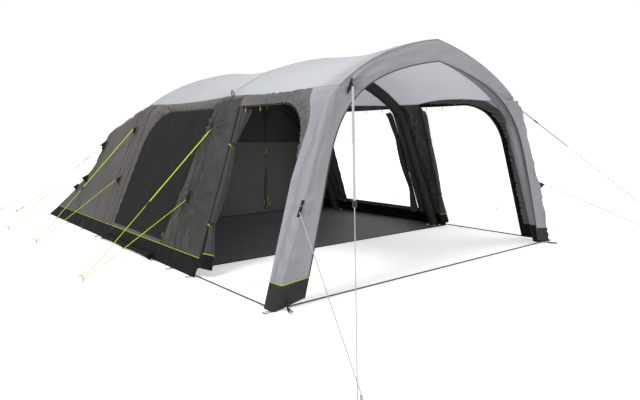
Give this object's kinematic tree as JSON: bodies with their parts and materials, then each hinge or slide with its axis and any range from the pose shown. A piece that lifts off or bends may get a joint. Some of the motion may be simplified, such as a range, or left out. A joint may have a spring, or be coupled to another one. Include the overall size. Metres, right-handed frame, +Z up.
{
  "type": "inflatable tunnel tent",
  "caption": "Inflatable family tunnel tent on air arches, with an open front canopy, zipped side doors, a bedroom wall, mud skirts, a groundsheet and guylines.",
  "frame": {"origin": "centre of the tent's footprint on the ground, without its guylines", "axes": "+Z up, -Y out of the open front canopy, +Y towards the rear wall, +X to the right when looking in through the canopy"},
  "size_m": [6.7752, 8.4924, 2.1015],
  "materials": {
    "roof_cloth": "matt coated light grey polyester",
    "gable_cloth": "matt mid grey polyester",
    "wall_cloth": "matt dark warm grey polyester",
    "band_cloth": "gathered grey-brown lining cloth",
    "skirt_cloth": "charcoal coated mud skirt",
    "floor_cloth": "dark coated groundsheet",
    "mesh_cloth": "black insect mesh",
    "inner_cloth": "dark breathable inner cloth",
    "sleeve_cloth": "black woven tube sleeve",
    "tube_film": "clear grey TPU air tube",
    "black_plastic": "moulded black plastic",
    "lime_line": "lime braided cord",
    "grey_line": "pale grey braided cord and webbing",
    "dark_line": "dark grey braided cord and webbing"
  },
  "bodies": {
    "tent": {"air_tube_front": "tube_film", "air_tube_middle": "tube_film", "air_tube_rear": "tube_film", "air_tube_sleeping": "tube_film", "base_flap_roll": "skirt_cloth", "bedroom_front": "inner_cloth", "canopy_band_left": "band_cloth", "canopy_band_right": "band_cloth", "canopy_door_roll_left": "band_cloth", "canopy_door_roll_right": "band_cloth", "canopy_roof": "roof_cloth", "front_gable": "gable_cloth", "ground_strap_front": "dark_line", "ground_strap_left": "dark_line", "ground_strap_right": "dark_line", "groundsheet": "floor_cloth", "guyline_front_left": "grey_line", "guyline_front_right": "dark_line", "guyline_middle_left": "lime_line", "guyline_middle_right": "lime_line", "guyline_rear_back": "lime_line", "guyline_rear_side": "lime_line", "guyline_rear_storm": "dark_line", "guyline_sleeping_left": "lime_line", "guyline_sleeping_right": "lime_line", "inner_tent": "inner_cloth", "leg_cuff_left": "skirt_cloth", "leg_cuff_right": "skirt_cloth", "leg_left": "gable_cloth", "leg_right": "gable_cloth", "living_door_roll_right": "band_cloth", "living_frame_left": "wall_cloth", "living_frame_right": "wall_cloth", "living_roof": "roof_cloth", "mesh_door_left": "mesh_cloth", "pillar_left": "wall_cloth", "pillar_right": "wall_cloth", "rear_wall": "wall_cloth", "skirt_left": "skirt_cloth", "skirt_rear": "skirt_cloth", "skirt_right": "skirt_cloth", "sleeping_roof": "roof_cloth", "sleeping_wall_left": "wall_cloth", "sleeping_wall_right": "wall_cloth", "sleeve_front": "gable_cloth", "sleeve_middle": "sleeve_cloth", "sleeve_rear": "sleeve_cloth", "sleeve_sleeping": "sleeve_cloth"},
    "bedroom_slider_left": {"bedroom_slider_left": "black_plastic"},
    "bedroom_slider_right": {"bedroom_slider_right": "black_plastic"},
    "mesh_slider": {"mesh_slider": "black_plastic"},
    "runner_front_left": {"runner_front_left": "black_plastic"},
    "runner_front_right": {"runner_front_right": "black_plastic"},
    "runner_middle_left": {"runner_middle_left": "black_plastic"},
    "runner_sleeping_left": {"runner_sleeping_left": "black_plastic"},
    "valve_cap_front": {"valve_cap_front": "black_plastic"},
    "valve_cap_middle": {"valve_cap_middle": "black_plastic"},
    "valve_cap_rear": {"valve_cap_rear": "black_plastic"},
    "valve_cap_sleeping": {"valve_cap_sleeping": "black_plastic"}
  },
  "joints": [
    {"name": "front_valve_cap_turn", "type": "hinge", "parent": "tent", "child": "valve_cap_front", "pos_m": [-1.63376, -2.97757, 0.4031], "axis": [0.9285, 0, -0.3714], "range_deg": [0, 360]},
    {"name": "middle_valve_cap_turn", "type": "hinge", "parent": "tent", "child": "valve_cap_middle", "pos_m": [-1.63376, -1.43433, 0.4031], "axis": [0.9285, 0, -0.3714], "range_deg": [0, 360]},
    {"name": "sleeping_valve_cap_turn", "type": "hinge", "parent": "tent", "child": "valve_cap_sleeping", "pos_m": [-1.63376, 0.5991, 0.4031], "axis": [0.9285, 0, -0.3714], "range_deg": [0, 360]},
    {"name": "rear_valve_cap_turn", "type": "hinge", "parent": "tent", "child": "valve_cap_rear", "pos_m": [-1.66504, 1.78427, 0.32489], "axis": [0.9285, 0, -0.3714], "range_deg": [0, 360]},
    {"name": "bedroom_zip_left", "type": "slide", "parent": "tent", "child": "bedroom_slider_left", "axis": [0, 0, 1], "range_m": [0, 1.436]},
    {"name": "bedroom_zip_right", "type": "slide", "parent": "tent", "child": "bedroom_slider_right", "axis": [0, 0, 1], "range_m": [0, 1.436]},
    {"name": "mesh_door_zip", "type": "slide", "parent": "tent", "child": "mesh_slider", "axis": [0.3673, -0.1474, 0.9183], "range_m": [0, 1.098]},
    {"name": "front_left_runner_slide", "type": "slide", "parent": "tent", "child": "runner_front_left", "axis": [-0.5098, -0.5588, -0.6541], "range_m": [-0.12, 0.12]},
    {"name": "front_right_runner_slide", "type": "slide", "parent": "tent", "child": "runner_front_right", "axis": [0.5278, -0.5833, -0.6173], "range_m": [-0.12, 0.12]},
    {"name": "middle_left_runner_slide", "type": "slide", "parent": "tent", "child": "runner_middle_left", "axis": [-0.6925, 0.0221, -0.7211], "range_m": [-0.12, 0.12]},
    {"name": "sleeping_left_runner_slide", "type": "slide", "parent": "tent", "child": "runner_sleeping_left", "axis": [-0.6684, 0.0167, -0.7436], "range_m": [-0.12, 0.12]}
  ]
}
